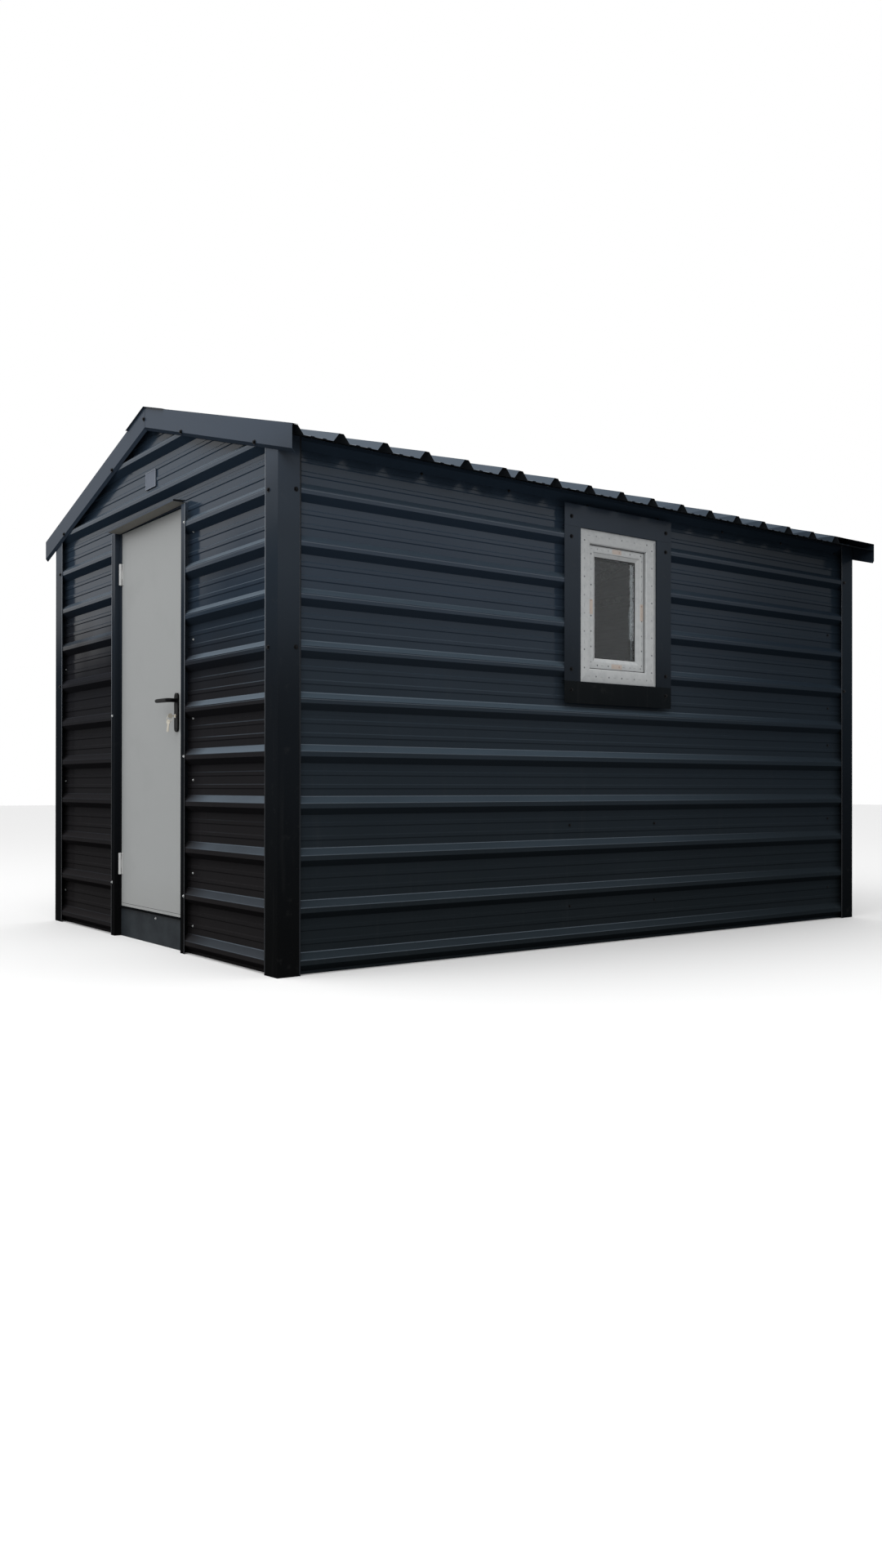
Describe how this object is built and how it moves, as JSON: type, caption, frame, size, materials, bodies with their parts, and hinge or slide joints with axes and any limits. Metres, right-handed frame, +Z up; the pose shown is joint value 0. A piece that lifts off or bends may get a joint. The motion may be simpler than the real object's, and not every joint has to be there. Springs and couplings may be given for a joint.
{
  "type": "metal tool shed",
  "caption": "Small gable-roofed tool shed of ribbed coated steel sheet on a box-section frame, with a hinged door in one gable end and a fixed window in a side wall.",
  "frame": {"origin": "on the ground under the middle of the whole shed", "axes": "+Z up, -Y out of the gable end with the door, +X out of the side wall with the window"},
  "size_m": [2.7, 3.684, 2.4579],
  "materials": {
    "wall_steel": "satin coil coating",
    "roof_steel": "satin coil coating",
    "trim_steel": "satin coil coating",
    "frame_steel": "dull galvanised box section",
    "window_plastic": "smooth white",
    "window_pane": "clear double glazing",
    "door_frame_paint": "satin dark grey",
    "door_panel": "flat pale grey",
    "handle_black": "satin black",
    "hinge_white": "satin white",
    "lock_metal": "nickel plate",
    "badge": "bare pale plate"
  },
  "bodies": {
    "root": {"left_wall_lower_sheet": "wall_steel", "left_wall_upper_sheet": "wall_steel", "right_wall_lower_sheet": "wall_steel", "right_wall_upper_sheets": "wall_steel", "right_wall_window_sheets": "wall_steel", "front_wall_lower_sheets": "wall_steel", "front_wall_upper_sheets": "wall_steel", "over_door_sheet": "wall_steel", "front_gable_sheet": "wall_steel", "back_wall_lower_sheet": "wall_steel", "back_wall_upper_sheet": "wall_steel", "back_gable_sheet": "wall_steel", "roof_left_front_sheet": "roof_steel", "roof_left_rear_sheet": "roof_steel", "roof_right_front_sheet": "roof_steel", "roof_right_rear_sheet": "roof_steel", "ridge_cap": "trim_steel", "front_verge_trims": "trim_steel", "back_verge_trims": "trim_steel", "corner_trims": "trim_steel", "window_side_trims": "trim_steel", "window_sill_trim": "trim_steel", "window_head_trim": "trim_steel", "door_jamb_trims": "trim_steel", "door_head_trim": "trim_steel", "kick_plate": "trim_steel", "base_rails_ends": "frame_steel", "base_rails_sides": "frame_steel", "posts": "frame_steel", "eave_rails": "frame_steel", "cross_ties": "frame_steel", "rafters": "frame_steel", "sill_and_head_rails": "frame_steel", "roof_purlins": "frame_steel", "window_frame": "window_plastic", "window_sash": "window_plastic", "window_glass": "window_pane", "door_frame_sides": "door_frame_paint", "door_frame_head": "door_frame_paint", "door_frame_sill": "door_frame_paint", "door_stops": "door_frame_paint", "hinge_frame_parts": "hinge_white", "badge_plate": "badge"},
    "door": {"door_leaf": "door_panel", "handle_plates": "handle_black", "lock_cylinder": "lock_metal", "key": "lock_metal", "hinge_leaf_parts": "hinge_white"},
    "lever": {"lever_handle": "handle_black"}
  },
  "joints": [
    {"name": "door_swing", "type": "hinge", "parent": "root", "child": "door", "pos_m": [-0.355, -1.789, 1], "axis": [0, 0, -1], "range_deg": [0, 110]},
    {"name": "lever_turn", "type": "hinge", "parent": "door", "child": "lever", "pos_m": [0.28, -1.781, 1.1], "axis": [0, -1, 0], "range_deg": [0, 45], "stiffness_Nm_per_rad": 1, "springref_deg": -28.65}
  ]
}
